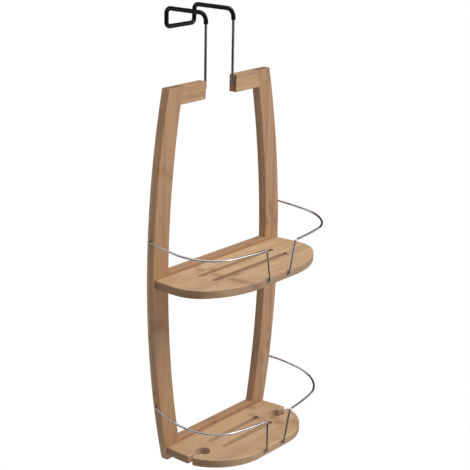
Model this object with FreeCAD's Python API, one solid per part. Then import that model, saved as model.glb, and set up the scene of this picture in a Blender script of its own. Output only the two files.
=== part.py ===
import FreeCAD, Part
import math
import os

V = FreeCAD.Vector

# Two-shelf bamboo caddy that hangs on a shower door by a bent wire hook.
# Frame: X across the caddy, -Y out of the door towards the user, +Z up, millimetres.
# Origin: on the door's front face (Y = 0), halfway between the hook's two arms (X = 0), at the
# height of the door's top edge (Z = 0), where the underside of the hook's sleeve rests.

# ---- hook -------------------------------------------------------------------------------
HOOK_WIRE_DIA = 4.0
SLEEVE_WALL = 1.35
SLEEVE_FIT = 0.05           # radial play between wire and sleeve
HOOK_HALF_SPACING = 31.6    # hook leg to middle plane
DOOR_GAP = 64.0             # clear width between the rails' backs and the hook's rear drops
HOOK_DROP = 28.0            # top bar to rear bar
PIVOT_BELOW_SEAT = 108.5    # door's top edge down to the wire's ends, which turn in the arms
PIVOT_BEHIND_FRONT = 5.0    # rails' front faces back to the wire's ends
FRONT_BEND = 12.0
REAR_BEND = 8.0
CORNER_BEND = 7.0
SLEEVE_END_BELOW_SEAT = 12.5
ELBOW_BEND = 3.0
WIRE_IN_ARM = 16.0
PIVOT_FIT = 0.05            # radial play of the wire's ends in the arms
ELBOW_PLAY = 0.4            # elbow to the arm's end face
WIRE_TIP_CHAMFER = 0.5

# ---- rails, arms and crossbars ------------------------------------------------------------
RAIL_LENGTH = 580.0
BOARD_THICK = 14.0
OUTER_HALF_WIDTH = 150.0    # middle plane to a rail's outer edge, where the rails bow furthest out
RAIL_WIDTH = 33.5
OUTER_BOW = 32.8            # how far the outer edge bows out of a straight line
INNER_BOW = 31.0
RAIL_ROUND = 1.5
RAIL_SPANS = 24             # short arcs that make up each long edge of a rail, so that its rounding is even
ARM_HEIGHT = 27.0
CROSSBAR_RISE = 6.0         # crossbar top above the shelf surface
CROSSBAR_ROUND = 1.0

# ---- shelves ----------------------------------------------------------------------------
SHELF_THICK = 13.2
SHELF_DEPTH = 115.6         # rails' front faces to the shelves' front edges
LOWER_SHELF_ABOVE_END = 22.2   # rails' lower ends up to the lower shelf surface
UPPER_SHELF_ABOVE_END = 300.0
SHELF_BACK_INSET = 3.8      # shelf's back corner inside the rail's outer edge
UPPER_SHELF_BULGE = 3.5     # widest point of a shelf outside its back corner
LOWER_SHELF_BULGE = 3.5
WIDEST_AT = 0.368           # share of the depth at which a shelf is widest
FLAT_FRONT = 0.3            # share of the half width over which the front edge is straight
SHELF_CORNER_RATIO = 0.77   # shape of the oval corners, small arc to its depth
SHELF_ROUND = 2.0
BACK_CORNER_ROUND = 2.5
SLOT_WIDTH = 9.0
SLOT_ROUND = 0.8
SLOT_SETBACKS = (34.7, 62.8)   # rails' front faces to the slots' middle lines
UPPER_SLOT_HALF = 89.5
LOWER_SLOT_HALF = 61.5
NOTCH_RADIUS = 12.5
NOTCH_HALF_SPACING = 93.0
NOTCH_SETBACK = 48.0
NOTCH_MOUTH = 5.5
NOTCH_LIP_ROUND = 3.0

# ---- guard wires ------------------------------------------------------------------------
GUARD_DIA = 3.2
GUARD_FIT = 0.1             # radial play of a guard's ends in their holes
UPPER_GUARD_RISE = 45.2     # shelf surface up to the guard's front bend
LOWER_GUARD_RISE = 49.8
UPPER_GUARD_LIFT = 13.8     # how much higher the guard starts at the rail
LOWER_GUARD_LIFT = 21.7
UPPER_GUARD_OVERHANG = 7.0  # guard's widest point outside the shelf's widest point
LOWER_GUARD_OVERHANG = 26.9
UPPER_GUARD_REACH = 4.5     # guard's front bow in front of the shelf's edge
LOWER_GUARD_REACH = 8.4
GUARD_WIDEST_AT = 0.411     # share of the depth at which a guard is widest
GUARD_CORNER_RATIO = 0.893
GUARD_EDGE_GAP = 0.6        # clear gap between a guard's foot and the shelf's edge
GUARD_FOOT_TURN = 0.9       # foot's bend radius as a share of its standoff from the edge
UPPER_GUARD_TOP_HALF = 34.6
UPPER_GUARD_FOOT_HALF = 23.6
LOWER_GUARD_TOP_HALF = 28.5
LOWER_GUARD_FOOT_HALF = 21.0
GUARD_FOOT_DEPTH = 6.5      # shelf surface down to the guard's foot
GUARD_BEND = 4.0
GUARD_FRONT_RUN = 9.0       # straight run before the front bend
GUARD_IN_RAIL = 14.0
GUARD_IN_SHELF = 12.0
GUARD_RAIL_GAP = 0.8        # straight wire between the rail's side and the guard's first bend

# ---- fasteners --------------------------------------------------------------------------
FASTENER_FIT = 0.05         # radial play of dowels and screws in their holes
HOLE_BOTTOM_GAP = 0.5       # blind holes are this much deeper than what fits in them
ARM_DOWEL_DIA = 6.0
ARM_DOWEL_LENGTH = 30.0
ARM_DOWEL_PITCH = 13.0
BAR_DOWEL_DIA = 5.0
BAR_DOWEL_LENGTH = 24.0
BAR_DOWEL_PITCH = 9.0
SHELF_SCREW_DIA = 4.0
SHELF_SCREW_LENGTH = 36.0
SHELF_SCREW_HEAD_DIA = 8.0
SHELF_SCREW_SINK = 0.4      # heads below the rails' backs
RAIL_SCREW_INSET = 13.0     # rail screws inside the rail's outer edge
BAR_SCREW_HALF_SPACING = 50.0
DRIVE_WIDTH = 1.2           # cross recess in the screw heads
DRIVE_LENGTH = 3.6
DRIVE_DEPTH = 1.3
TIP_TAPER = 0.33            # share of a screw's diameter chamfered off its tip
DOWEL_CHAMFER = 0.12        # share of a dowel's diameter chamfered off its ends
CUT_PAST = 1.0              # cutting shapes run this far past the face that they open

# ---- derived places ---------------------------------------------------------------------
WIRE_R = HOOK_WIRE_DIA / 2
SLEEVE_R = WIRE_R + SLEEVE_FIT + SLEEVE_WALL
BAR_Z = SLEEVE_R
FRONT_Y = -BOARD_THICK
PIVOT_Y = FRONT_Y + PIVOT_BEHIND_FRONT
PIVOT_Z = -PIVOT_BELOW_SEAT
DROP_Y = DOOR_GAP + SLEEVE_R
REAR_Z = BAR_Z - HOOK_DROP
ARM_END_X = HOOK_HALF_SPACING + ELBOW_BEND + ELBOW_PLAY
RAIL_TOP = PIVOT_Z + ARM_HEIGHT / 2
RAIL_BOTTOM = RAIL_TOP - RAIL_LENGTH
ARM_BOTTOM = RAIL_TOP - ARM_HEIGHT
RAIL_MID_Z = (RAIL_TOP + RAIL_BOTTOM) / 2
LOWER_TOP = RAIL_BOTTOM + LOWER_SHELF_ABOVE_END
UPPER_TOP = RAIL_BOTTOM + UPPER_SHELF_ABOVE_END
SHELF_FRONT_Y = FRONT_Y - SHELF_DEPTH
UPPER_GUARD_Z = UPPER_TOP + UPPER_GUARD_RISE + UPPER_GUARD_LIFT   # guards' holes in the rails
LOWER_GUARD_Z = LOWER_TOP + LOWER_GUARD_RISE + LOWER_GUARD_LIFT
GUARD_R = GUARD_DIA / 2
GUARD_STANDOFF = GUARD_R + GUARD_EDGE_GAP   # feet's middle lines in front of the shelf's edge
GUARD_FOOT_BEND = GUARD_FOOT_TURN * GUARD_STANDOFF
BAR_HEIGHT = SHELF_THICK + CROSSBAR_RISE
MIRROR_PLANE = (V(0, 0, 0), V(1, 0, 0))
SAME_PLACE = 1e-3           # faces and edges nearer than this are taken to coincide


# ---- helpers ----------------------------------------------------------------------------
def bow_x(z, half_width, bow):
    """X of a rail edge at height z: an arc whose furthest point is half_width at mid-height."""
    radius = ((RAIL_LENGTH / 2) ** 2 + bow ** 2) / (2 * bow)
    return half_width - radius + math.sqrt(radius ** 2 - (z - RAIL_MID_Z) ** 2)


def outer_x(z):
    return bow_x(z, OUTER_HALF_WIDTH, OUTER_BOW)


def inner_x(z):
    return bow_x(z, OUTER_HALF_WIDTH - RAIL_WIDTH, INNER_BOW)


def arc(start, middle, end):
    return Part.Arc(start, middle, end).toShape()


def line(start, end):
    return Part.makeLine(start, end)


def rail_edge_arc(edge_x, z_start, z_end, side=1):
    """Arc along a rail edge between two heights, at Y = 0."""
    z_mid = (z_start + z_end) / 2
    points = [V(side * edge_x(z), 0, z) for z in (z_start, z_mid, z_end)]
    return arc(*points)


def rail_edge_spans(edge_x, z_start, z_end):
    """Whole rail edge between two heights, as a row of short arcs."""
    heights = [z_start + (z_end - z_start) * i / RAIL_SPANS for i in range(RAIL_SPANS + 1)]
    return [rail_edge_arc(edge_x, *ends) for ends in zip(heights, heights[1:])]


def board(edges, extrusion):
    return Part.Face(Part.Wire(edges)).extrude(extrusion)


def mirrored(shape):
    return shape.mirror(*MIRROR_PLANE)


def rod(start, direction, radius, length):
    return Part.makeCylinder(radius, length, start, direction)


def edges_where(shape, keep):
    return [edge for edge in shape.Edges if keep(edge)]


def on_plane(edge, axis, value):
    """True if the whole edge lies in the plane where the given coordinate has this value."""
    box = edge.BoundBox
    low = getattr(box, axis + "Min")
    high = getattr(box, axis + "Max")
    return abs(low - value) < SAME_PLACE and abs(high - value) < SAME_PLACE


def rounded_run(points, radii):
    """Edges of a polyline whose inner corners are replaced by tangent arcs of the given radii."""
    edges = []
    start = points[0]
    for before, corner, after, radius in zip(points, points[1:], points[2:], radii):
        to_before = (before - corner).normalize()
        to_after = (after - corner).normalize()
        half_angle = to_before.getAngle(to_after) / 2
        setback = radius / math.tan(half_angle)
        bisector = (to_before + to_after).normalize()
        centre = corner + bisector * (radius / math.sin(half_angle))
        arc_start = corner + to_before * setback
        arc_end = corner + to_after * setback
        edges.append(line(start, arc_start))
        edges.append(arc(arc_start, centre - bisector * radius, arc_end))
        start = arc_end
    edges.append(line(start, points[-1]))
    return edges


def swept_rod(edges, radius):
    """Round rod of the given radius along a chain of tangent lines and arcs."""
    first = edges[0]
    start = first.valueAt(first.FirstParameter)
    tangent = first.tangentAt(first.FirstParameter)
    if first.Vertexes[0].Point.distanceToPoint(start) > SAME_PLACE:
        start = first.valueAt(first.LastParameter)
        tangent = first.tangentAt(first.LastParameter)
    profile = Part.Wire(Part.Circle(start, tangent, radius).toShape())
    return Part.Wire(edges).makePipeShell([profile], True, True)


def oval_corner(side_x, flat_x, widest_y, front_y, ratio):
    """Two tangent arcs from the widest point (side_x, widest_y) to the front (flat_x, front_y).

    Returns the small arc's radius and centre, the large arc's radius and centre, and the point
    where they meet, all in the XY plane.
    """
    across = side_x - flat_x
    deep = widest_y - front_y
    small = ratio * deep
    large = (across ** 2 + deep ** 2 - 2 * across * small) / (2 * (deep - small))
    small_centre = V(side_x - small, widest_y, 0)
    large_centre = V(flat_x, front_y + large, 0)
    outward = (small_centre - large_centre).normalize()
    return small, small_centre, large, large_centre, small_centre + outward * small


def arc_middle(centre, radius, start, end):
    """Middle point of the shorter arc between two points on a circle."""
    return centre + ((start - centre) + (end - centre)).normalize() * radius


def arc_about(centre, radius, start, end):
    return arc(start, arc_middle(centre, radius, start, end), end)


def side_arc_radius(offset, run):
    """Radius of an arc that ends parallel to a line after drifting offset over run."""
    return (offset ** 2 + run ** 2) / (2 * offset)


# ---- hook -------------------------------------------------------------------------------
def hook_half(start, radii):
    """Edges of one side of the hook from a start point: up its leg, back, down and in to the middle."""
    points = [
        V(HOOK_HALF_SPACING, PIVOT_Y, BAR_Z),
        V(HOOK_HALF_SPACING, DROP_Y, BAR_Z),
        V(HOOK_HALF_SPACING, DROP_Y, REAR_Z),
        V(0, DROP_Y, REAR_Z),
    ]
    return rounded_run(start + points, radii + [FRONT_BEND, REAR_BEND, CORNER_BEND])


def make_hook_wire():
    """One wire, whose ends turn outwards into the arms and are the caddy's pivot."""
    tip_x = ARM_END_X + WIRE_IN_ARM
    elbow = [V(tip_x, PIVOT_Y, PIVOT_Z), V(HOOK_HALF_SPACING, PIVOT_Y, PIVOT_Z)]
    half = swept_rod(hook_half(elbow, [ELBOW_BEND]), WIRE_R)
    tip_rim = edges_where(half, lambda edge: on_plane(edge, "X", tip_x))
    half = half.makeChamfer(WIRE_TIP_CHAMFER, tip_rim)
    return half.fuse(mirrored(half)).removeSplitter()


def make_hook_sleeve():
    sleeve_run = hook_half([V(HOOK_HALF_SPACING, PIVOT_Y, -SLEEVE_END_BELOW_SEAT)], [])
    half = swept_rod(sleeve_run, SLEEVE_R).cut(swept_rod(sleeve_run, WIRE_R + SLEEVE_FIT))
    return half.fuse(mirrored(half)).removeSplitter()


# ---- fasteners --------------------------------------------------------------------------
def cross_recess(centre, axis):
    """Cross-shaped driver recess cut down from a screw head's face, whose normal is axis."""
    upright = V(0, 0, 1)
    level = axis.cross(upright)
    bars = []
    for along, beside in ((upright, level), (level, upright)):
        corner = centre - along * (DRIVE_LENGTH / 2) - beside * (DRIVE_WIDTH / 2)
        long_side = along * DRIVE_LENGTH
        short_side = beside * DRIVE_WIDTH
        points = [corner, corner + long_side, corner + long_side + short_side, corner + short_side, corner]
        bars.append(Part.Face(Part.makePolygon(points)).extrude(axis * -DRIVE_DEPTH))
    return bars[0].fuse(bars[1])


def pivot_hole():
    depth = WIRE_IN_ARM + HOLE_BOTTOM_GAP
    start = V(ARM_END_X - CUT_PAST, PIVOT_Y, PIVOT_Z)
    return rod(start, V(1, 0, 0), WIRE_R + PIVOT_FIT, depth + CUT_PAST)


def arm_dowel_starts():
    """Inner ends of the dowels on the +X side, half in the arm and half in the rail."""
    starts = []
    for offset in (-ARM_DOWEL_PITCH / 2, ARM_DOWEL_PITCH / 2):
        z = PIVOT_Z + offset
        starts.append(V(inner_x(z) - ARM_DOWEL_LENGTH / 2, FRONT_Y / 2, z))
    return starts


def bar_dowel_starts(shelf_top):
    starts = []
    middle_z = shelf_top + CROSSBAR_RISE - BAR_HEIGHT / 2
    for offset in (-BAR_DOWEL_PITCH / 2, BAR_DOWEL_PITCH / 2):
        z = middle_z + offset
        starts.append(V(inner_x(z) - BAR_DOWEL_LENGTH / 2, FRONT_Y / 2, z))
    return starts


def dowel(start, diameter, length):
    """Wooden peg along +X with chamfered ends."""
    peg = rod(start, V(1, 0, 0), diameter / 2, length)
    end_x = start.x + length
    rims = edges_where(peg, lambda edge: on_plane(edge, "X", start.x) or on_plane(edge, "X", end_x))
    return peg.makeChamfer(diameter * DOWEL_CHAMFER, rims)


def dowel_hole(start, diameter, length):
    bottom = start - V(HOLE_BOTTOM_GAP, 0, 0)
    return rod(bottom, V(1, 0, 0), diameter / 2 + FASTENER_FIT, length + 2 * HOLE_BOTTOM_GAP)


def make_arm_dowels():
    pegs = [dowel(start, ARM_DOWEL_DIA, ARM_DOWEL_LENGTH) for start in arm_dowel_starts()]
    return pegs + [mirrored(peg) for peg in pegs]


def make_crossbar_dowels():
    pegs = []
    for shelf_top in (UPPER_TOP, LOWER_TOP):
        pegs += [dowel(start, BAR_DOWEL_DIA, BAR_DOWEL_LENGTH) for start in bar_dowel_starts(shelf_top)]
    return pegs + [mirrored(peg) for peg in pegs]


def shelf_screw_places(shelf_top):
    """X and Z of the screws on the +X side: one through the rail, one through the crossbar."""
    z = shelf_top - SHELF_THICK / 2
    return [(outer_x(z) - RAIL_SCREW_INSET, z), (BAR_SCREW_HALF_SPACING, z)]


def screw_shape(x, z, length, play):
    """Countersunk head and shank along -Y, wider by play all round."""
    radius = SHELF_SCREW_DIA / 2 + play
    head_radius = SHELF_SCREW_HEAD_DIA / 2 + play
    head = V(x, -SHELF_SCREW_SINK, z)
    inward = V(0, -1, 0)
    shank = rod(head, inward, radius, length)
    cone = Part.makeCone(head_radius, radius, head_radius - radius, head, inward)
    return shank.fuse(cone).removeSplitter()


def screw_hole(x, z):
    """What a shelf screw's hole takes away, from past the rail's back to past the screw's tip."""
    hole = screw_shape(x, z, SHELF_SCREW_LENGTH + HOLE_BOTTOM_GAP, FASTENER_FIT)
    mouth_radius = SHELF_SCREW_HEAD_DIA / 2 + FASTENER_FIT
    mouth = rod(V(x, CUT_PAST, z), V(0, -1, 0), mouth_radius, SHELF_SCREW_SINK + CUT_PAST)
    return hole.fuse(mouth).removeSplitter()


def make_shelf_screws():
    tip_y = -SHELF_SCREW_SINK - SHELF_SCREW_LENGTH
    screws = []
    for shelf_top in (UPPER_TOP, LOWER_TOP):
        for x, z in shelf_screw_places(shelf_top):
            screw = screw_shape(x, z, SHELF_SCREW_LENGTH, 0)
            tip = edges_where(screw, lambda edge: on_plane(edge, "Y", tip_y))
            screw = screw.makeChamfer(SHELF_SCREW_DIA * TIP_TAPER, tip)
            screw = screw.cut(cross_recess(V(x, -SHELF_SCREW_SINK, z), V(0, 1, 0)))
            screws += [screw, mirrored(screw)]
    return screws


# ---- guard wires ------------------------------------------------------------------------
def guard_run(shelf_top, side_x, reach, rise, lift, top_half, foot_half):
    """Edges of the guard on the +X side, from inside the rail to inside the shelf's front edge.

    The long part lies in one plane that tilts down from the rail to the front. It is drawn flat
    first, as stub, tight bend, side arc, small corner arc and large front arc, and then tilted.
    """
    front_z = shelf_top + rise
    start_y = FRONT_Y / 2
    front_y = SHELF_FRONT_Y - reach
    rail_x = outer_x(front_z + lift)
    widest_y = FRONT_Y - GUARD_WIDEST_AT * SHELF_DEPTH
    slope = math.hypot(start_y - front_y, lift) / (start_y - front_y)

    def flat_y(y):
        return start_y + (y - start_y) * slope

    def tilted(point):
        y = start_y + (point.y - start_y) / slope
        return V(point.x, y, front_z + lift * (y - front_y) / (start_y - front_y))

    bend_centre = V(rail_x + GUARD_RAIL_GAP, start_y - GUARD_BEND, 0)
    drift = side_x - bend_centre.x
    run = bend_centre.y - flat_y(widest_y)
    side_radius = (drift ** 2 + run ** 2 - GUARD_BEND ** 2) / (2 * (drift - GUARD_BEND))
    side_centre = V(side_x - side_radius, flat_y(widest_y), 0)
    bend_start = bend_centre + V(0, GUARD_BEND, 0)
    bend_end = side_centre + (bend_centre - side_centre).normalize() * side_radius
    widest = V(side_x, flat_y(widest_y), 0)
    small, small_centre, large, large_centre, junction = oval_corner(
        side_x, 0, flat_y(widest_y), flat_y(front_y), GUARD_CORNER_RATIO)
    end_x = top_half + GUARD_FRONT_RUN
    end = V(end_x, large_centre.y - math.sqrt(large ** 2 - end_x ** 2), 0)
    inward = V(-(large_centre.y - end.y), -end_x, 0).normalize()
    corner = end + inward * GUARD_FRONT_RUN

    flat_arcs = [
        (bend_start, bend_centre, GUARD_BEND, bend_end),
        (bend_end, side_centre, side_radius, widest),
        (widest, small_centre, small, junction),
        (junction, large_centre, large, end),
    ]
    edges = [line(tilted(V(rail_x - GUARD_IN_RAIL, start_y, 0)), tilted(bend_start))]
    for start, centre, radius, stop in flat_arcs:
        middle = arc_middle(centre, radius, start, stop)
        edges.append(arc(tilted(start), tilted(middle), tilted(stop)))
    foot_z = shelf_top - GUARD_FOOT_DEPTH
    foot = V(foot_half, SHELF_FRONT_Y - GUARD_STANDOFF, foot_z)
    inner_end = V(foot_half, SHELF_FRONT_Y + GUARD_IN_SHELF, foot_z)
    return edges + rounded_run([tilted(end), tilted(corner), foot, inner_end], [GUARD_BEND, GUARD_FOOT_BEND])


def rail_guard_hole(z):
    depth = GUARD_IN_RAIL + HOLE_BOTTOM_GAP
    start = V(outer_x(z) - depth, FRONT_Y / 2, z)
    return rod(start, V(1, 0, 0), GUARD_R + GUARD_FIT, depth + CUT_PAST)


def shelf_guard_hole(shelf_top, foot_half):
    depth = GUARD_IN_SHELF + HOLE_BOTTOM_GAP
    start = V(foot_half, SHELF_FRONT_Y + depth, shelf_top - GUARD_FOOT_DEPTH)
    return rod(start, V(0, -1, 0), GUARD_R + GUARD_FIT, depth + CUT_PAST)


# ---- boards -----------------------------------------------------------------------------
def flush_zones():
    """Heights between which a rail's inner edge stays square, because a board is jointed there."""
    zones = [(ARM_BOTTOM + RAIL_ROUND, RAIL_TOP - RAIL_ROUND)]
    for shelf_top in (UPPER_TOP, LOWER_TOP):
        bar_top = shelf_top + CROSSBAR_RISE
        zones.append((bar_top - BAR_HEIGHT + CROSSBAR_ROUND, bar_top - CROSSBAR_ROUND))
    return zones


def square_corner(square_rail, low, high):
    """Strip of an unrounded rail along its inner edge, between two heights."""
    near = min(inner_x(low), inner_x(high)) - CUT_PAST
    far = max(inner_x(low), inner_x(high)) + RAIL_ROUND + CUT_PAST
    zone = Part.makeBox(far - near, BOARD_THICK, high - low, V(near, FRONT_Y, low))
    return square_rail.common(zone)


def make_rail():
    """Bowed board on the +X side, rounded except at its joints, with the holes for its fasteners."""
    outer_edge = rail_edge_spans(outer_x, RAIL_BOTTOM, RAIL_TOP)
    inner_edge = rail_edge_spans(inner_x, RAIL_TOP, RAIL_BOTTOM)
    top = line(V(outer_x(RAIL_TOP), 0, RAIL_TOP), V(inner_x(RAIL_TOP), 0, RAIL_TOP))
    bottom = line(V(inner_x(RAIL_BOTTOM), 0, RAIL_BOTTOM), V(outer_x(RAIL_BOTTOM), 0, RAIL_BOTTOM))
    square_rail = board([*outer_edge, top, *inner_edge, bottom], V(0, FRONT_Y, 0))
    rims = edges_where(square_rail, lambda edge: on_plane(edge, "Y", 0) or on_plane(edge, "Y", FRONT_Y))
    rail = square_rail.makeFillet(RAIL_ROUND, rims)
    rail = rail.fuse([square_corner(square_rail, *zone) for zone in flush_zones()])
    cuts = [dowel_hole(start, ARM_DOWEL_DIA, ARM_DOWEL_LENGTH) for start in arm_dowel_starts()]
    for shelf_top, guard_z in ((UPPER_TOP, UPPER_GUARD_Z), (LOWER_TOP, LOWER_GUARD_Z)):
        cuts += [dowel_hole(start, BAR_DOWEL_DIA, BAR_DOWEL_LENGTH) for start in bar_dowel_starts(shelf_top)]
        cuts.append(rail_guard_hole(guard_z))
        rail_screw_x, screw_z = shelf_screw_places(shelf_top)[0]
        cuts.append(screw_hole(rail_screw_x, screw_z))
    return rail.cut(cuts)


def make_arm():
    """Short block on the +X side, its outer end shaped to the rail's inner edge."""
    joint = rail_edge_arc(inner_x, ARM_BOTTOM, RAIL_TOP)
    top = line(V(inner_x(RAIL_TOP), 0, RAIL_TOP), V(ARM_END_X, 0, RAIL_TOP))
    end = line(V(ARM_END_X, 0, RAIL_TOP), V(ARM_END_X, 0, ARM_BOTTOM))
    bottom = line(V(ARM_END_X, 0, ARM_BOTTOM), V(inner_x(ARM_BOTTOM), 0, ARM_BOTTOM))
    arm = board([joint, top, end, bottom], V(0, FRONT_Y, 0))

    def exposed(edge):
        box = edge.BoundBox
        level = box.ZMax - box.ZMin < SAME_PLACE and box.XMax - box.XMin > RAIL_ROUND
        return level or on_plane(edge, "X", ARM_END_X)

    arm = arm.makeFillet(RAIL_ROUND, edges_where(arm, exposed))
    holes = [dowel_hole(start, ARM_DOWEL_DIA, ARM_DOWEL_LENGTH) for start in arm_dowel_starts()]
    return arm.cut(holes + [pivot_hole()])


def make_crossbar(shelf_top):
    """Bar between the rails behind a shelf, its ends shaped to the rails' inner edges."""
    top_z = shelf_top + CROSSBAR_RISE
    bottom_z = top_z - BAR_HEIGHT
    right = rail_edge_arc(inner_x, bottom_z, top_z)
    left = rail_edge_arc(inner_x, top_z, bottom_z, side=-1)
    top = line(V(inner_x(top_z), 0, top_z), V(-inner_x(top_z), 0, top_z))
    bottom = line(V(-inner_x(bottom_z), 0, bottom_z), V(inner_x(bottom_z), 0, bottom_z))
    bar = board([right, top, left, bottom], V(0, FRONT_Y, 0))
    long_edges = edges_where(bar, lambda edge: edge.BoundBox.ZMax - edge.BoundBox.ZMin < SAME_PLACE
                             and edge.BoundBox.XMax - edge.BoundBox.XMin > BOARD_THICK)
    bar = bar.makeFillet(CROSSBAR_ROUND, long_edges)
    holes = [dowel_hole(start, BAR_DOWEL_DIA, BAR_DOWEL_LENGTH) for start in bar_dowel_starts(shelf_top)]
    holes += [mirrored(hole) for hole in holes]
    screw_x, screw_z = shelf_screw_places(shelf_top)[1]
    bar_screw = screw_hole(screw_x, screw_z)
    return bar.cut(holes + [bar_screw, mirrored(bar_screw)])


def shelf_outline(top_z, back_half, side_half):
    """D-shaped outline at the given height: straight back, bulging sides, oval corners, flat front."""
    widest_y = FRONT_Y - WIDEST_AT * SHELF_DEPTH
    flat_x = FLAT_FRONT * side_half
    lift = V(0, 0, top_z)
    back = V(back_half, FRONT_Y, 0)
    widest = V(side_half, widest_y, 0)
    side_radius = side_arc_radius(side_half - back_half, FRONT_Y - widest_y)
    side_centre = V(side_half - side_radius, widest_y, 0)
    small, small_centre, large, large_centre, junction = oval_corner(
        side_half, flat_x, widest_y, SHELF_FRONT_Y, SHELF_CORNER_RATIO)
    front = V(flat_x, SHELF_FRONT_Y, 0)
    right = [
        arc_about(side_centre + lift, side_radius, back + lift, widest + lift),
        arc_about(small_centre + lift, small, widest + lift, junction + lift),
        arc_about(large_centre + lift, large, junction + lift, front + lift),
    ]
    left = [mirrored(edge) for edge in right]
    front_line = line(front + lift, V(-flat_x, SHELF_FRONT_Y, top_z))
    back_line = line(V(-back_half, FRONT_Y, top_z), back + lift)
    return Part.Wire(Part.__sortEdges__(right + [front_line] + left + [back_line]))


def slot_cut(setback, half_length, top_z):
    """Long drainage slot with round ends, cut right through."""
    y = FRONT_Y - setback
    radius = SLOT_WIDTH / 2
    run = half_length - radius
    down = V(0, 0, -SHELF_THICK)
    cut = Part.makeBox(2 * run, SLOT_WIDTH, SHELF_THICK, V(-run, y - radius, top_z - SHELF_THICK))
    for x in (-run, run):
        cut = cut.fuse(rod(V(x, y, top_z), down, radius, SHELF_THICK))
    return cut.removeSplitter()


def notch_cut(top_z, side_half):
    """Round hole near the +X side, with a mouth that opens it to the side."""
    y = FRONT_Y - NOTCH_SETBACK
    bottom = V(NOTCH_HALF_SPACING, y, top_z - SHELF_THICK)
    hole = rod(bottom, V(0, 0, 1), NOTCH_RADIUS, SHELF_THICK)
    reach = side_half - NOTCH_HALF_SPACING + NOTCH_LIP_ROUND
    mouth = Part.makeBox(reach, NOTCH_MOUTH, SHELF_THICK, bottom - V(0, NOTCH_MOUTH / 2, 0))
    return hole.fuse(mouth).removeSplitter()


def is_upright(edge):
    box = edge.BoundBox
    return box.XMax - box.XMin < SAME_PLACE and box.YMax - box.YMin < SAME_PLACE


def make_shelf(top_z, back_half, side_half, slot_half, foot_half, notched):
    """D-shaped board with rounded edges, drainage slots and, if notched, two side notches."""
    outline = shelf_outline(top_z, back_half, side_half)
    shelf = Part.Face(outline).extrude(V(0, 0, -SHELF_THICK))
    back_corners = edges_where(shelf, lambda edge: is_upright(edge) and on_plane(edge, "Y", FRONT_Y))
    shelf = shelf.makeFillet(BACK_CORNER_ROUND, back_corners)
    if notched:
        notch = notch_cut(top_z, side_half)
        shelf = shelf.cut([notch, mirrored(notch)])
        notch_y = FRONT_Y - NOTCH_SETBACK
        lips = edges_where(shelf, lambda edge: is_upright(edge)
                           and abs(abs(edge.BoundBox.YMax - notch_y) - NOTCH_MOUTH / 2) < SAME_PLACE)
        shelf = shelf.makeFillet(NOTCH_LIP_ROUND, lips)
    bottom_z = top_z - SHELF_THICK
    rims = edges_where(shelf, lambda edge: on_plane(edge, "Z", top_z) or on_plane(edge, "Z", bottom_z))
    shelf = shelf.makeFillet(SHELF_ROUND, rims)
    shelf = shelf.cut([slot_cut(setback, slot_half, top_z) for setback in SLOT_SETBACKS])
    inside = slot_half + SLOT_ROUND
    slot_rims = edges_where(shelf, lambda edge: (on_plane(edge, "Z", top_z) or on_plane(edge, "Z", bottom_z))
                            and is_slot_rim(edge, inside))
    shelf = shelf.makeFillet(SLOT_ROUND, slot_rims)
    holes = [screw_hole(x, z) for x, z in shelf_screw_places(top_z)]
    holes.append(shelf_guard_hole(top_z, foot_half))
    return shelf.cut(holes + [mirrored(hole) for hole in holes])


def is_slot_rim(edge, reach):
    """True for a flat edge that lies wholly along one of the drainage slots."""
    box = edge.BoundBox
    half = SLOT_WIDTH / 2 + SAME_PLACE
    for setback in SLOT_SETBACKS:
        y = FRONT_Y - setback
        if box.YMax < y + half and box.YMin > y - half and box.XMax < reach and box.XMin > -reach:
            return True
    return False


# ---- build ------------------------------------------------------------------------------
def build():
    """All nodes by name. A list is a group of identical separate solids."""
    upper_back = outer_x(UPPER_TOP) - SHELF_BACK_INSET
    lower_back = outer_x(LOWER_TOP) - SHELF_BACK_INSET
    upper_half = upper_back + UPPER_SHELF_BULGE
    lower_half = lower_back + LOWER_SHELF_BULGE
    upper_run = guard_run(UPPER_TOP, upper_half + UPPER_GUARD_OVERHANG, UPPER_GUARD_REACH,
                          UPPER_GUARD_RISE, UPPER_GUARD_LIFT, UPPER_GUARD_TOP_HALF, UPPER_GUARD_FOOT_HALF)
    lower_run = guard_run(LOWER_TOP, lower_half + LOWER_GUARD_OVERHANG, LOWER_GUARD_REACH,
                          LOWER_GUARD_RISE, LOWER_GUARD_LIFT, LOWER_GUARD_TOP_HALF, LOWER_GUARD_FOOT_HALF)
    upper_guard = swept_rod(upper_run, GUARD_R)
    lower_guard = swept_rod(lower_run, GUARD_R)
    rail = make_rail()
    arm = make_arm()
    return {
        "hook_wire": make_hook_wire(),
        "hook_sleeve": make_hook_sleeve(),
        "left_rail": mirrored(rail),
        "right_rail": rail,
        "left_arm": mirrored(arm),
        "right_arm": arm,
        "upper_crossbar": make_crossbar(UPPER_TOP),
        "lower_crossbar": make_crossbar(LOWER_TOP),
        "upper_shelf": make_shelf(UPPER_TOP, upper_back, upper_half, UPPER_SLOT_HALF,
                                  UPPER_GUARD_FOOT_HALF, notched=False),
        "lower_shelf": make_shelf(LOWER_TOP, lower_back, lower_half, LOWER_SLOT_HALF,
                                  LOWER_GUARD_FOOT_HALF, notched=True),
        "upper_left_guard": mirrored(upper_guard),
        "upper_right_guard": upper_guard,
        "lower_left_guard": mirrored(lower_guard),
        "lower_right_guard": lower_guard,
        "arm_dowels": make_arm_dowels(),
        "crossbar_dowels": make_crossbar_dowels(),
        "shelf_screws": make_shelf_screws(),
    }


def as_solids(shape):
    """One solid, or a compound of separate solids for a group."""
    if isinstance(shape, list):
        return Part.makeCompound([piece.Solids[0] for piece in shape])
    return shape.Solids[0] if len(shape.Solids) == 1 else shape


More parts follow.
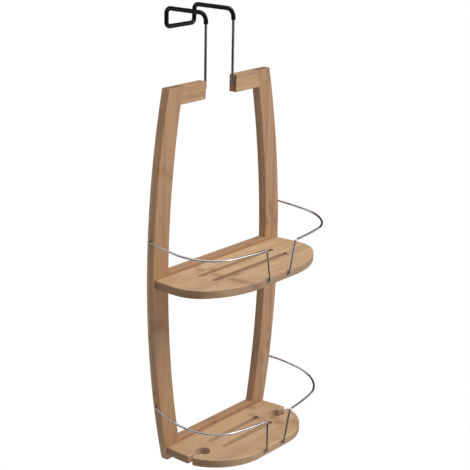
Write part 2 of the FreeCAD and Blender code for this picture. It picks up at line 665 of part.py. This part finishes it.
def main():
    os.makedirs("parts", exist_ok=True)
    for name, shape in build().items():
        node = as_solids(shape)
        node.exportStep(os.path.join("parts", name + ".step"))
        box = node.BoundBox
        print(f"{name}: valid={node.isValid()} solids={len(node.Solids)} volume={node.Volume / 1000:.2f} cm3 "
              f"x {box.XMin:.1f}..{box.XMax:.1f} y {box.YMin:.1f}..{box.YMax:.1f} z {box.ZMin:.1f}..{box.ZMax:.1f}")


main()
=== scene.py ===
"""Looks for a two-shelf bamboo caddy that hangs on a shower door by a bent wire hook.

Frame: X across the caddy, -Y out of the door towards the user, +Z up, in metres. The origin is on
the door's front face, at the height of the door's top edge, where the hook's sleeve rests.
"""

import logging
import math
from dataclasses import dataclass
from enum import Enum
from typing import Any, Mapping, Optional, Sequence, Union

import bmesh
import bpy
from mathutils import Matrix, Vector


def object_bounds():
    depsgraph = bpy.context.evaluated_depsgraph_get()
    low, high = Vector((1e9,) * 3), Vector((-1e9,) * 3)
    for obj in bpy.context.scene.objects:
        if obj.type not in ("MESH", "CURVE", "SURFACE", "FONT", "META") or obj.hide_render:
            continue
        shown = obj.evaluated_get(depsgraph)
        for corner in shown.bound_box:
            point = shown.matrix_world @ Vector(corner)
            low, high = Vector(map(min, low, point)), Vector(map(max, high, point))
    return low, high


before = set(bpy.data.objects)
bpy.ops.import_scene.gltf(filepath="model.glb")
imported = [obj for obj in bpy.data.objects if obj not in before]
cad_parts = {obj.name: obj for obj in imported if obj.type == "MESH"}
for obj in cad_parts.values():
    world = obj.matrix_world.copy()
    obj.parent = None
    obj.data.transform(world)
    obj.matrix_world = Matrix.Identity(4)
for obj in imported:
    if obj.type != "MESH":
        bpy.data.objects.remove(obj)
CAD_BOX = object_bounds()

log = logging.getLogger("caddy")

Colour = tuple[float, float, float]
Number = Union[int, float]
MM = 0.001


# ---- shader building ------------------------------------------------------------------------
class Blend(Enum):
    """How one colour is laid over another."""

    MIX = "MIX"
    MULTIPLY = "MULTIPLY"


class Value:
    """A number socket whose arithmetic adds Math nodes to its own sheet."""

    def __init__(self, sheet: "NodeSheet", socket: bpy.types.NodeSocket) -> None:
        """Wrap a socket.

        Args:
            sheet: The sheet that holds the socket's node.
            socket: An output socket that carries one number.
        """
        self.sheet = sheet
        self.socket = socket

    def _math(self, operation: str, *operands: Union["Value", Number]) -> "Value":
        """Add one Math node.

        Args:
            operation: What the node does.
            operands: Its inputs, in order.

        Returns:
            The node's result.
        """
        inputs = dict(enumerate(operands))
        node = self.sheet.node("ShaderNodeMath", {"operation": operation}, inputs)
        return Value(self.sheet, node.outputs[0])

    def __add__(self, other: Union["Value", Number]) -> "Value":
        """Sum."""
        return self._math("ADD", self, other)

    def __radd__(self, other: Number) -> "Value":
        """Sum with a plain number first."""
        return self._math("ADD", other, self)

    def __sub__(self, other: Union["Value", Number]) -> "Value":
        """Difference."""
        return self._math("SUBTRACT", self, other)

    def __rsub__(self, other: Number) -> "Value":
        """Difference with a plain number first."""
        return self._math("SUBTRACT", other, self)

    def __mul__(self, other: Union["Value", Number]) -> "Value":
        """Product."""
        return self._math("MULTIPLY", self, other)

    def __rmul__(self, other: Number) -> "Value":
        """Product with a plain number first."""
        return self._math("MULTIPLY", other, self)

    def __truediv__(self, other: Union["Value", Number]) -> "Value":
        """Quotient."""
        return self._math("DIVIDE", self, other)

    def __rtruediv__(self, other: Number) -> "Value":
        """Quotient of a plain number."""
        return self._math("DIVIDE", other, self)

    def floor(self) -> "Value":
        """Whole part."""
        return self._math("FLOOR", self)

    def fraction(self) -> "Value":
        """What is left above the whole part."""
        return self._math("FRACT", self)

    def size(self) -> "Value":
        """Value without its sign."""
        return self._math("ABSOLUTE", self)

    def larger(self, other: Union["Value", Number]) -> "Value":
        """The larger of two values."""
        return self._math("MAXIMUM", self, other)

    def ramp(self, low: float, high: float, to_low: float = 0.0, to_high: float = 1.0) -> "Value":
        """Map a range smoothly onto another, held flat outside it.

        Args:
            low: Value that gives to_low.
            high: Value that gives to_high. It may be under low.
            to_low: Result at low.
            to_high: Result at high.

        Returns:
            The mapped value.
        """
        if low > high:
            low, high, to_low, to_high = high, low, to_high, to_low
        node = self.sheet.node(
            "ShaderNodeMapRange",
            {"interpolation_type": "SMOOTHSTEP", "clamp": True},
            {"Value": self, "From Min": low, "From Max": high, "To Min": to_low, "To Max": to_high},
        )
        return Value(self.sheet, node.outputs["Result"])


Operand = Union[Value, bpy.types.NodeSocket, Number, Sequence[float]]


class NodeSheet:
    """One node tree, cleared, with the one method that adds nodes to it."""

    def __init__(self, tree: bpy.types.NodeTree) -> None:
        """Take over a node tree.

        Args:
            tree: The tree, whose nodes are removed.
        """
        self.tree = tree
        self.tree.nodes.clear()

    def node(
        self,
        kind: str,
        settings: Optional[Mapping[str, Any]] = None,
        inputs: Optional[Mapping[Union[str, int], Operand]] = None,
    ) -> bpy.types.Node:
        """Add a node.

        Args:
            kind: The node's type.
            settings: Its properties, set first. "stops" is a ramp's list of place and colour.
            inputs: Values or links for its sockets, by index, identifier or name.

        Returns:
            The new node.
        """
        made = self.tree.nodes.new(kind)
        for key, setting in (settings or {}).items():
            if key == "stops":
                self._set_stops(made.color_ramp, setting)
            else:
                setattr(made, key, setting)
        for key, operand in (inputs or {}).items():
            self._feed(self._socket(made, key), operand)
        return made

    @staticmethod
    def _set_stops(ramp: bpy.types.ColorRamp, stops: Sequence[tuple[float, Colour]]) -> None:
        """Give a colour ramp its stops.

        Args:
            ramp: The ramp.
            stops: Place from 0 to 1 and colour of each stop, in order.
        """
        while len(ramp.elements) < len(stops):
            ramp.elements.new(1.0)
        for element, (place, colour) in zip(ramp.elements, stops):
            element.position = place
            element.color = (*colour, 1.0)

    @staticmethod
    def _socket(node: bpy.types.Node, key: Union[str, int]) -> bpy.types.NodeSocket:
        """Find an input socket.

        Args:
            node: The socket's node.
            key: The socket's index, identifier or name.

        Returns:
            The socket.
        """
        if isinstance(key, int):
            return node.inputs[key]
        for socket in node.inputs:
            if socket.identifier == key:
                return socket
        return node.inputs[key]

    def _feed(self, socket: bpy.types.NodeSocket, operand: Operand) -> None:
        """Link a socket, or set its own value.

        Args:
            socket: The input socket.
            operand: What it is linked to, or the number or colour it holds.
        """
        if isinstance(operand, Value):
            self.tree.links.new(operand.socket, socket)
        elif isinstance(operand, bpy.types.NodeSocket):
            self.tree.links.new(operand, socket)
        elif isinstance(operand, (int, float)):
            socket.default_value = operand
        elif socket.type == "RGBA" and len(operand) == 3:
            socket.default_value = (*operand, 1.0)
        else:
            socket.default_value = tuple(operand)

    def place(self) -> tuple[Value, Value, Value]:
        """The surface point's own coordinates, which stay with the piece.

        Returns:
            X, Y and Z in metres.
        """
        spot = self.node("ShaderNodeTexCoord")
        split = self.node("ShaderNodeSeparateXYZ", inputs={0: spot.outputs["Object"]})
        return tuple(Value(self, split.outputs[i]) for i in range(3))

    def facing(self, axis: int) -> Value:
        """Tell how squarely the surface faces along an axis.

        Args:
            axis: 0 for X, 1 for Y and 2 for Z.

        Returns:
            0 for a surface that lies along the axis, 1 for one that faces it.
        """
        spot = self.node("ShaderNodeTexCoord")
        split = self.node("ShaderNodeSeparateXYZ", inputs={0: spot.outputs["Normal"]})
        return Value(self, split.outputs[axis]).size()

    def vector(self, x: Operand, y: Operand, z: Operand) -> bpy.types.NodeSocket:
        """Three numbers as one vector."""
        return self.node("ShaderNodeCombineXYZ", inputs={0: x, 1: y, 2: z}).outputs[0]

    def noise(
        self, vector: bpy.types.NodeSocket, scale: float, detail: float = 3.0, rough: float = 0.5
    ) -> Value:
        """Soft noise from 0 to 1.

        Args:
            vector: Where it is read.
            scale: Cells per unit of the vector.
            detail: Octaves.
            rough: Weight of the finer octaves.

        Returns:
            The noise.
        """
        inputs = {"Vector": vector, "Scale": scale, "Detail": detail, "Roughness": rough}
        return Value(self, self.node("ShaderNodeTexNoise", inputs=inputs).outputs[0])

    def chance(self, vector: bpy.types.NodeSocket) -> Value:
        """One even random number per whole-number vector."""
        made = self.node("ShaderNodeTexWhiteNoise", {"noise_dimensions": "3D"}, {"Vector": vector})
        return Value(self, made.outputs["Value"])

    def blend(
        self, share: Operand, under: Operand, over: Operand, way: Blend = Blend.MIX
    ) -> bpy.types.NodeSocket:
        """Lay one colour over another.

        Args:
            share: How much of the upper colour, from 0 to 1.
            under: Lower colour.
            over: Upper colour.
            way: How they combine.

        Returns:
            The colour socket.
        """
        made = self.node(
            "ShaderNodeMix",
            {"data_type": "RGBA", "blend_type": way.value, "clamp_factor": True},
            {"Factor_Float": share, "A_Color": under, "B_Color": over},
        )
        return next(output for output in made.outputs if output.identifier == "Result_Color")

    def ramp_colour(self, value: Value, stops: Sequence[tuple[float, Colour]]) -> bpy.types.NodeSocket:
        """Colour by a value through a ramp's stops."""
        return self.node("ShaderNodeValToRGB", {"stops": stops}, {0: value}).outputs[0]

    def relief(self, height: Value, depth: float, strength: float) -> bpy.types.NodeSocket:
        """Surface normal tilted by a height.

        Args:
            height: Height from 0 to 1.
            depth: Metres between heights 0 and 1.
            strength: Share of the tilt that shows.

        Returns:
            The normal socket.
        """
        made = self.node("ShaderNodeBump", inputs={"Strength": strength, "Distance": depth, "Height": height})
        return made.outputs["Normal"]


@dataclass(frozen=True)
class Finish:
    """A finish that any piece may take: it makes its own material once."""

    name: str

    def material(self) -> bpy.types.Material:
        """Make the material, or give back the one already made.

        Returns:
            The material, with one principled shader fed by paint().
        """
        found = bpy.data.materials.get(self.name)
        if found is not None:
            return found
        made = bpy.data.materials.new(self.name)
        made.use_nodes = True
        sheet = NodeSheet(made.node_tree)
        shader = sheet.node("ShaderNodeBsdfPrincipled", inputs=self.paint(sheet))
        sheet.node("ShaderNodeOutputMaterial", inputs={"Surface": shader.outputs[0]})
        return made

    def paint(self, sheet: NodeSheet) -> dict[str, Operand]:
        """Inputs for the principled shader.

        Args:
            sheet: The material's sheet.

        Returns:
            Values or links by the shader's socket names.
        """
        raise NotImplementedError


# ---- finishes -------------------------------------------------------------------------------
class Grain(Enum):
    """Which axes a board's fibres, its face's width and its thickness lie along."""

    UPRIGHT = (2, 0, 1)
    LEVEL = (0, 2, 1)
    SHELF = (0, 1, 2)


@dataclass(frozen=True)
class Bamboo(Finish):
    """Laminated bamboo under satin lacquer: strips, fibres, growth rings and glue lines."""

    grain: Grain
    seed: float
    strip_width: float = 7.2 * MM
    layer_thickness: float = 4.6 * MM
    strip_wander: float = 1.6 * MM
    glue_reach: float = 0.34 * MM
    glue_core: float = 0.04 * MM
    ring_spacing: float = 236.0 * MM
    ring_scatter: float = 0.16
    ring_shadow_reach: float = 15.0 * MM
    ring_shadow_core: float = 1.0 * MM
    ring_band_reach: float = 3.2 * MM
    ring_band_core: float = 0.2 * MM
    relief_depth: float = 0.10 * MM
    relief_strength: float = 0.5
    lacquer: float = 0.08
    lacquer_roughness: float = 0.30
    tint_share: float = 0.30
    streak_share: float = 0.66
    fine_share: float = 0.30
    glue_share: float = 0.38
    layer_share: float = 0.34
    pale: Colour = (0.590, 0.355, 0.188)
    ochre: Colour = (0.515, 0.278, 0.120)
    pink: Colour = (0.462, 0.240, 0.138)
    grey: Colour = (0.375, 0.236, 0.148)
    ring_brown: Colour = (0.300, 0.145, 0.068)
    fibre_brown: Colour = (0.300, 0.165, 0.085)
    # Painted sheen and shade: a greyer, darker tint laid on a board's narrow sides by which way they face.
    side_sheen_shade_tint: Colour = (0.990, 1.000, 1.000)
    end_tint: Colour = (0.640, 0.580, 0.520)

    def paint(self, sheet: NodeSheet) -> dict[str, Operand]:
        """Inputs for the principled shader: see Finish.paint."""
        along_axis, across_axis, through_axis = self.grain.value
        axes = sheet.place()
        along, across, through = axes[along_axis], axes[across_axis], axes[through_axis]

        # Slow wander of the strips, so that their edges aren't ruled lines.
        drift = sheet.noise(sheet.vector(along * 4.0, across * 9.0, self.seed), 1.0, 2.0)
        wandering = across + (drift - 0.5) * self.strip_wander
        strip = wandering / self.strip_width + self.seed * 3.7
        layer = through / self.layer_thickness + self.seed * 1.9
        strip_number, layer_number = strip.floor(), layer.floor()
        strip_chance = sheet.chance(sheet.vector(strip_number, layer_number, self.seed))
        tint_chance = sheet.chance(sheet.vector(strip_number + 31.0, layer_number, self.seed))
        ring_chance = sheet.chance(sheet.vector(strip_number + 67.0, layer_number, self.seed))

        # Strip colours: pale, ochre and pinkish culms side by side.
        culms = [(0.0, self.ochre), (0.45, self.pale), (0.8, self.pink), (1.0, self.grey)]
        base = sheet.ramp_colour(strip_chance, culms)
        base = sheet.blend(tint_chance * self.tint_share, base, self.pale)

        # Cloudy change along the board, and broad darker drifts a strip or two wide.
        cloud_place = sheet.vector(along * 7.0, across * 34.0, through * 34.0 + self.seed)
        cloud = sheet.noise(cloud_place, 1.0, 4.0, 0.6)
        base = sheet.blend(cloud.ramp(0.40, 0.70, 0.0, 0.42), base, self.pink)
        base = sheet.blend(cloud.ramp(0.50, 0.25, 0.0, 0.40), base, self.pale)
        sweep_place = sheet.vector(along * 3.0, across * 120.0, through * 120.0 - self.seed)
        sweep = sheet.noise(sweep_place, 1.0, 3.0, 0.6)
        base = sheet.blend(sweep.ramp(0.48, 0.70, 0.0, 0.60), base, self.grey)

        # Fibres: long thin streaks on the faces, dots on the ends.
        fibre_place = sheet.vector(along * 11.0, across * 480.0, through * 480.0 + self.seed)
        fibre = sheet.noise(fibre_place, 1.0, 3.0, 0.65)
        fine_place = sheet.vector(along * 55.0, across * 2600.0, through * 2600.0)
        fine = sheet.noise(fine_place, 1.0, 2.0)
        streak = fibre.ramp(0.50, 0.74)
        base = sheet.blend(streak * self.streak_share, base, self.fibre_brown)
        base = sheet.blend(fine.ramp(0.50, 0.75) * self.fine_share, base, self.fibre_brown)

        # Growth rings: a soft brown band at its own height on each strip, stronger on some.
        turn = along / self.ring_spacing + (ring_chance - 0.5) * self.ring_scatter + self.seed * 0.37
        past_ring = (turn.fraction() - 0.5) * self.ring_spacing
        shadow = past_ring.size().ramp(self.ring_shadow_reach, self.ring_shadow_core)
        shadow = shadow * cloud.ramp(0.25, 0.75, 0.25, 0.60)
        band = past_ring.size().ramp(self.ring_band_reach, self.ring_band_core)
        band = band * ring_chance.ramp(0.15, 0.95, 0.10, 0.60)
        base = sheet.blend(shadow, base, self.ring_brown)
        base = sheet.blend(band * (1.3 - fibre), base, self.ring_brown)

        # Glue lines between strips and between layers.
        strip_gap = (0.5 - (strip.fraction() - 0.5).size()) * self.strip_width
        layer_gap = (0.5 - (layer.fraction() - 0.5).size()) * self.layer_thickness
        strip_line, layer_line = (gap.ramp(self.glue_reach, self.glue_core) for gap in (strip_gap, layer_gap))
        glue = strip_line.larger(layer_line)
        base = sheet.blend(glue * self.glue_share, base, self.fibre_brown)

        # The narrow sides get a greyer, darker tint by which way they face: painted sheen and painted shade.
        on_edge = sheet.facing(through_axis).ramp(0.75, 0.25)
        layer_chance = sheet.chance(sheet.vector(layer_number, 5.0, self.seed))
        base = sheet.blend(on_edge, base, sheet.blend(1.0, base, self.side_sheen_shade_tint, Blend.MULTIPLY))
        # Some layers on the narrow sides are darker wood, layer by layer.
        base = sheet.blend(on_edge * layer_chance * self.layer_share, base, self.fibre_brown)

        # Cut ends drink the lacquer and look darker, with the fibre bundles as dots.
        on_end = sheet.facing(along_axis).ramp(0.45, 0.92)
        base = sheet.blend(on_end, base, sheet.blend(1.0, base, self.end_tint, Blend.MULTIPLY))

        height = 0.55 - streak * 0.30 - fine * 0.10 - glue * 0.35 + band * 0.30
        return {
            "Base Color": base,
            "Roughness": 0.42 + fibre * 0.12 + on_end * 0.14 - band * 0.05,
            "Coat Weight": self.lacquer,
            "Coat Roughness": self.lacquer_roughness,
            "Normal": sheet.relief(height, self.relief_depth, self.relief_strength),
        }


@dataclass(frozen=True)
class BrightWire(Finish):
    """Polished plated wire with faint drawing lines and a little haze."""

    colour: Colour = (0.60, 0.59, 0.60)
    haze: Colour = (0.40, 0.385, 0.385)
    shine: float = 0.05

    def paint(self, sheet: NodeSheet) -> dict[str, Operand]:
        """Inputs for the principled shader: see Finish.paint."""
        x, y, z = sheet.place()
        where = sheet.vector(x, y, z)
        cloud = sheet.noise(where, 45.0, 3.0)
        wear = sheet.noise(where, 420.0, 3.0, 0.6)
        return {
            "Base Color": sheet.blend(cloud.ramp(0.42, 0.72, 0.0, 0.8), self.colour, self.haze),
            "Metallic": 1.0,
            "Roughness": self.shine + cloud * 0.04 + wear.ramp(0.45, 0.75) * 0.04,
            "Normal": sheet.relief(wear, 0.01 * MM, 0.08),
        }


@dataclass(frozen=True)
class SoftSleeve(Finish):
    """Smooth black tube with a low sheen and fine rub marks."""

    colour: Colour = (0.0025, 0.003, 0.006)
    rubbed: Colour = (0.008, 0.009, 0.014)
    shine: float = 0.26

    def paint(self, sheet: NodeSheet) -> dict[str, Operand]:
        """Inputs for the principled shader: see Finish.paint."""
        x, y, z = sheet.place()
        where = sheet.vector(x, y, z)
        rub = sheet.noise(where, 70.0, 5.0, 0.6).ramp(0.48, 0.80)
        skin = sheet.noise(where, 1100.0, 2.0)
        return {
            "Base Color": sheet.blend(rub * 0.6, self.colour, self.rubbed),
            "Roughness": 0.22 + rub * 0.12 + skin * 0.04,
            "Specular IOR Level": self.shine,
            "Normal": sheet.relief(skin, 0.02 * MM, 0.2),
        }


@dataclass(frozen=True)
class PegWood(Finish):
    """Plain turned peg: pale wood with fine lines along it."""

    pale: Colour = (0.70, 0.53, 0.34)
    dark: Colour = (0.46, 0.31, 0.17)

    def paint(self, sheet: NodeSheet) -> dict[str, Operand]:
        """Inputs for the principled shader: see Finish.paint."""
        x, y, z = sheet.place()
        line = sheet.noise(sheet.vector(x * 60.0, y * 1500.0, z * 1500.0), 1.0, 3.0)
        return {
            "Base Color": sheet.blend(line.ramp(0.45, 0.75), self.pale, self.dark),
            "Roughness": 0.62 + line * 0.1,
            "Normal": sheet.relief(line, 0.05 * MM, 0.4),
        }


# ---- sub-assemblies -------------------------------------------------------------------------
@dataclass
class SubAssembly:
    """Nodes of the caddy that are made together and share how they are dressed."""

    title: str

    def finishes(self) -> dict[str, Finish]:
        """Finish of each node.

        Returns:
            Finishes by node name.
        """
        raise NotImplementedError

    def dress(self, nodes: Mapping[str, bpy.types.Object]) -> list[str]:
        """Give each node its finish.

        Args:
            nodes: The frame's nodes by name.

        Returns:
            Names of the nodes that were dressed.
        """
        for node_name, finish in self.finishes().items():
            body = nodes[node_name]
            made = finish.material()
            body.data.materials.clear()
            body.data.materials.append(made)
        return list(self.finishes())


@dataclass
class Hook(SubAssembly):
    """Bent wire that hangs over the door, and the tube pulled over its top."""

    title: str = "hook"
    wire: Finish = BrightWire("dark_polished_steel", (0.33, 0.322, 0.325), (0.20, 0.195, 0.20), 0.06)
    sleeve: Finish = SoftSleeve("black_tube")

    def finishes(self) -> dict[str, Finish]:
        """Finish of each node: see SubAssembly.finishes."""
        return {"hook_wire": self.wire, "hook_sleeve": self.sleeve}


@dataclass
class Frame(SubAssembly):
    """Bowed rails, the arms that hold the hook and the two crossbars."""

    title: str = "frame"
    arm_pale: Colour = (0.665, 0.430, 0.240)

    def finishes(self) -> dict[str, Finish]:
        """Finish of each node: see SubAssembly.finishes."""
        return {
            "left_rail": Bamboo("bamboo_left_rail", Grain.UPRIGHT, 1.13),
            "right_rail": Bamboo("bamboo_right_rail", Grain.UPRIGHT, 2.41),
            "left_arm": Bamboo("bamboo_left_arm", Grain.LEVEL, 3.29, pale=self.arm_pale),
            "right_arm": Bamboo("bamboo_right_arm", Grain.LEVEL, 4.57, pale=self.arm_pale),
            "upper_crossbar": Bamboo("bamboo_upper_crossbar", Grain.LEVEL, 5.71),
            "lower_crossbar": Bamboo("bamboo_lower_crossbar", Grain.LEVEL, 6.83),
        }


@dataclass
class Shelves(SubAssembly):
    """The two D-shaped shelves: broad strips, paler and more even than the frame's boards."""

    title: str = "shelves"
    strip_width: float = 17.0 * MM
    layer_thickness: float = 4.4 * MM
    pale: Colour = (0.705, 0.478, 0.272)
    ochre: Colour = (0.640, 0.402, 0.208)
    upper_pink: Colour = (0.575, 0.350, 0.218)
    lower_pink: Colour = (0.650, 0.425, 0.255)
    upper_grey: Colour = (0.500, 0.325, 0.200)
    lower_grey: Colour = (0.590, 0.390, 0.240)
    # Painted sheen and shade: the greyer, darker tint laid on the shelves' narrow sides.
    side_sheen_shade_tint: Colour = (0.880, 0.900, 0.940)

    def finishes(self) -> dict[str, Finish]:
        """Finish of each node: see SubAssembly.finishes."""
        return {
            "upper_shelf": self._board("bamboo_upper_shelf", 7.37, self.upper_pink, self.upper_grey),
            "lower_shelf": self._board("bamboo_lower_shelf", 8.59, self.lower_pink, self.lower_grey),
        }

    def _board(self, name: str, seed: float, pink: Colour, grey: Colour) -> Bamboo:
        """Make one shelf's bamboo.

        Args:
            name: The material's name.
            seed: What its pattern starts from.
            pink: Colour of its pinkish strips.
            grey: Colour of its greyish strips.

        Returns:
            The finish.
        """
        return Bamboo(
            name,
            Grain.SHELF,
            seed,
            strip_width=self.strip_width,
            layer_thickness=self.layer_thickness,
            pale=self.pale,
            ochre=self.ochre,
            pink=pink,
            grey=grey,
            side_sheen_shade_tint=self.side_sheen_shade_tint,
        )


@dataclass
class Guards(SubAssembly):
    """Four wires that keep bottles on the shelves."""

    title: str = "guards"
    wire: Finish = BrightWire("polished_wire")

    def finishes(self) -> dict[str, Finish]:
        """Finish of each node: see SubAssembly.finishes."""
        names = ("upper_left_guard", "upper_right_guard", "lower_left_guard", "lower_right_guard")
        return {name: self.wire for name in names}


@dataclass
class Fasteners(SubAssembly):
    """Pegs and screws that hold the boards together."""

    title: str = "fasteners"
    peg: Finish = PegWood("peg_wood")
    screw: Finish = BrightWire("zinc_plate", (0.50, 0.51, 0.53), (0.36, 0.36, 0.38), 0.30)

    def finishes(self) -> dict[str, Finish]:
        """Finish of each node: see SubAssembly.finishes."""
        return {"arm_dowels": self.peg, "crossbar_dowels": self.peg, "shelf_screws": self.screw}


# ---- studio ---------------------------------------------------------------------------------
@dataclass(frozen=True)
class SoftLight:
    """A large square lamp that looks at a point."""

    name: str
    spot: tuple[float, float, float]
    target: tuple[float, float, float]
    width: float
    watts: float
    colour: Colour
    glint: float = 0.5

    def build(self) -> bpy.types.Object:
        """Make the lamp.

        Returns:
            The lamp's object.
        """
        lamp = bpy.data.lights.new(self.name, "AREA")
        lamp.shape = "SQUARE"
        lamp.size = self.width
        lamp.energy = self.watts
        lamp.specular_factor = self.glint
        lamp.color = self.colour
        body = bpy.data.objects.new(self.name, lamp)
        bpy.context.scene.collection.objects.link(body)
        body.location = self.spot
        aim = Vector(self.target) - Vector(self.spot)
        body.rotation_euler = aim.to_track_quat("-Z", "Y").to_euler()
        return body


@dataclass
class Studio:
    """Camera, lamps, white surroundings and a pale floor."""

    camera_spot: tuple[float, float, float] = (-1.5780, -1.3084, 0.2936)
    camera_azimuth: float = -51.314
    camera_elevation: float = 17.204
    camera_roll: float = 1.034
    lens: float = 106.71
    sensor: float = 36.0
    floor_drop: float = 0.45
    floor_radius: float = 0.62
    floor_fade_from: float = 0.30
    backdrop: Colour = (1.0, 1.0, 1.0)
    overhead: float = 0.92
    underfoot: float = 0.92
    horizon: float = 0.05
    front_glow: float = 0.26
    top_panel: float = 1.9
    low_panel: float = 0.65
    side_panel: float = 0.75
    front_right: tuple[float, float] = (0.6, -0.8)
    back_left: tuple[float, float] = (-0.5, 0.87)
    floor_paint: Colour = (0.86, 0.86, 0.85)
    floor_roughness: float = 0.7
    key: SoftLight = SoftLight(
        "key_lamp", (2.4, -3.4, 3.0), (0.0, -0.05, -0.40), 2.4, 118.0, (1.0, 0.985, 0.96)
    )

    def build(self, lowest: float) -> None:
        """Make everything around the object.

        Args:
            lowest: Height of the object's lowest point.
        """
        self._camera()
        self.key.build()
        self._surroundings()
        self._floor(lowest - self.floor_drop)
        bpy.context.scene.view_settings.view_transform = "Standard"
        bpy.context.scene.view_settings.look = "None"

    def _camera(self) -> None:
        """Place the camera at its viewing angle."""
        azimuth, elevation = math.radians(self.camera_azimuth), math.radians(self.camera_elevation)
        roll = math.radians(self.camera_roll)
        level = math.cos(elevation)
        back = Vector((math.sin(azimuth) * level, -math.cos(azimuth) * level, math.sin(elevation)))
        right = Vector((math.cos(azimuth), math.sin(azimuth), 0.0))
        up = back.cross(right)
        turned_right = right * math.cos(roll) + up * math.sin(roll)
        turned_up = up * math.cos(roll) - right * math.sin(roll)
        lens = bpy.data.cameras.new("camera")
        lens.lens = self.lens
        lens.sensor_width = self.sensor
        lens.clip_end = 50.0
        body = bpy.data.objects.new("camera", lens)
        bpy.context.scene.collection.objects.link(body)
        turn = Matrix((turned_right, turned_up, back)).transposed()
        body.matrix_world = Matrix.Translation(self.camera_spot) @ turn.to_4x4()
        bpy.context.scene.camera = body

    def _surroundings(self) -> None:
        """Make the world: white to the eye, soft to matt surfaces, dark with bright panels to shiny ones."""
        world = bpy.data.worlds.new("studio")
        world.use_nodes = True
        bpy.context.scene.world = world
        sheet = NodeSheet(world.node_tree)
        ray = sheet.node("ShaderNodeLightPath")
        way = sheet.node("ShaderNodeTexCoord")
        split = sheet.node("ShaderNodeSeparateXYZ", inputs={0: way.outputs["Generated"]})
        x, y, z = (Value(sheet, split.outputs[i]) for i in range(3))
        ways = (self.front_right, self.back_left)
        front_right, back_left = (x * way_x + y * way_y for way_x, way_y in ways)
        level = z.size().ramp(0.7, 0.2)
        soft = z.ramp(0.22, 0.62) * self.overhead + z.ramp(-0.25, -0.65) * self.underfoot
        soft = soft + front_right.ramp(0.35, 0.85) * level * self.front_glow + self.horizon
        panels = z.ramp(0.74, 0.86) * self.top_panel + z.ramp(-0.66, -0.80) * self.low_panel
        sides = front_right.ramp(0.62, 0.80).larger(back_left.ramp(0.80, 0.90))
        panels = panels + sides * level * self.side_panel
        seen = self._glow(sheet, 1.0)
        matt = self._glow(sheet, soft)
        shiny = self._glow(sheet, panels + self.horizon)
        lit = sheet.node("ShaderNodeMixShader", inputs={0: ray.outputs["Is Glossy Ray"], 1: matt, 2: shiny})
        to_eye = {0: ray.outputs["Is Camera Ray"], 1: lit.outputs[0], 2: seen}
        both = sheet.node("ShaderNodeMixShader", inputs=to_eye)
        sheet.node("ShaderNodeOutputWorld", inputs={"Surface": both.outputs[0]})

    def _glow(self, sheet: NodeSheet, strength: Operand) -> bpy.types.NodeSocket:
        """White light of a strength, for the world."""
        glow = sheet.node("ShaderNodeBackground", inputs={"Color": self.backdrop, "Strength": strength})
        return glow.outputs[0]

    def _floor(self, height: float) -> None:
        """Make a pale round floor whose edge fades into the white around it.

        Args:
            height: The floor's height.
        """
        mesh = bpy.data.meshes.new("floor")
        disc = bmesh.new()
        bmesh.ops.create_circle(disc, cap_ends=True, segments=96, radius=self.floor_radius)
        disc.to_mesh(mesh)
        disc.free()
        floor = bpy.data.objects.new("floor", mesh)
        floor.location = (0.0, 0.0, height)
        bpy.context.scene.collection.objects.link(floor)
        made = bpy.data.materials.new("pale_floor")
        made.use_nodes = True
        sheet = NodeSheet(made.node_tree)
        x, y, _ = sheet.place()
        away = (x * x + y * y) / self.floor_radius**2
        paint_inputs = {"Base Color": self.floor_paint, "Roughness": self.floor_roughness}
        paint = sheet.node("ShaderNodeBsdfPrincipled", inputs=paint_inputs)
        clear = sheet.node("ShaderNodeBsdfTransparent")
        share = away.ramp(self.floor_fade_from**2, 0.95)
        both = sheet.node("ShaderNodeMixShader", inputs={0: share, 1: paint.outputs[0], 2: clear.outputs[0]})
        sheet.node("ShaderNodeOutputMaterial", inputs={"Surface": both.outputs[0]})
        mesh.materials.append(made)


def main() -> None:
    """Dress each sub-assembly in order, then build the studio around it."""
    logging.basicConfig(level=logging.INFO, format="%(name)s: %(message)s")
    for part in (Hook(), Frame(), Shelves(), Guards(), Fasteners()):
        for piece in part.dress(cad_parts):
            log.info("%s: %s is dressed", part.title, piece)
    Studio().build(CAD_BOX[0].z)


if __name__ == "__main__":
    main()
